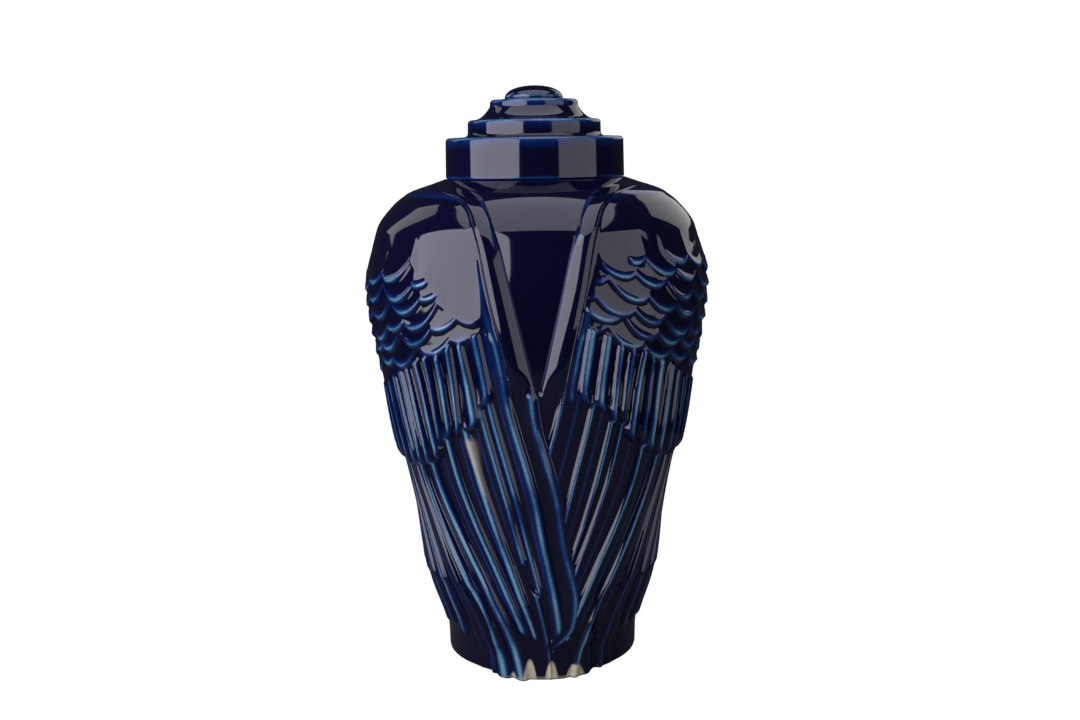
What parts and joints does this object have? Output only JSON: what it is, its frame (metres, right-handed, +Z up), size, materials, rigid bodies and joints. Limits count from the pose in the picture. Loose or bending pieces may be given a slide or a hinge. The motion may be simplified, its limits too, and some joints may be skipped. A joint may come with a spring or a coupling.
{
  "type": "funeral urn",
  "caption": "Glazed ceramic cremation urn, an ovoid hollow body wrapped by two folded feathered wings, with a stepped lid that lifts off.",
  "frame": {"origin": "middle of the flat underside, on the surface that the urn stands on", "axes": "+Z up along the axis of the lid, front with the V between the wings towards -Y, +X to the right of someone facing the front"},
  "size_m": [0.1788, 0.1726, 0.3],
  "materials": {
    "body_glaze": "dark cobalt blue gloss glaze on stoneware that breaks to pale grey blue on every raised ridge, with bare beige clay in a few places at the foot",
    "lid_glaze": "the same cobalt blue gloss glaze on stoneware, pale blue along the rounded edges of the steps"
  },
  "bodies": {
    "root": {"urn_body": "body_glaze", "lid": "lid_glaze"}
  },
  "joints": []
}
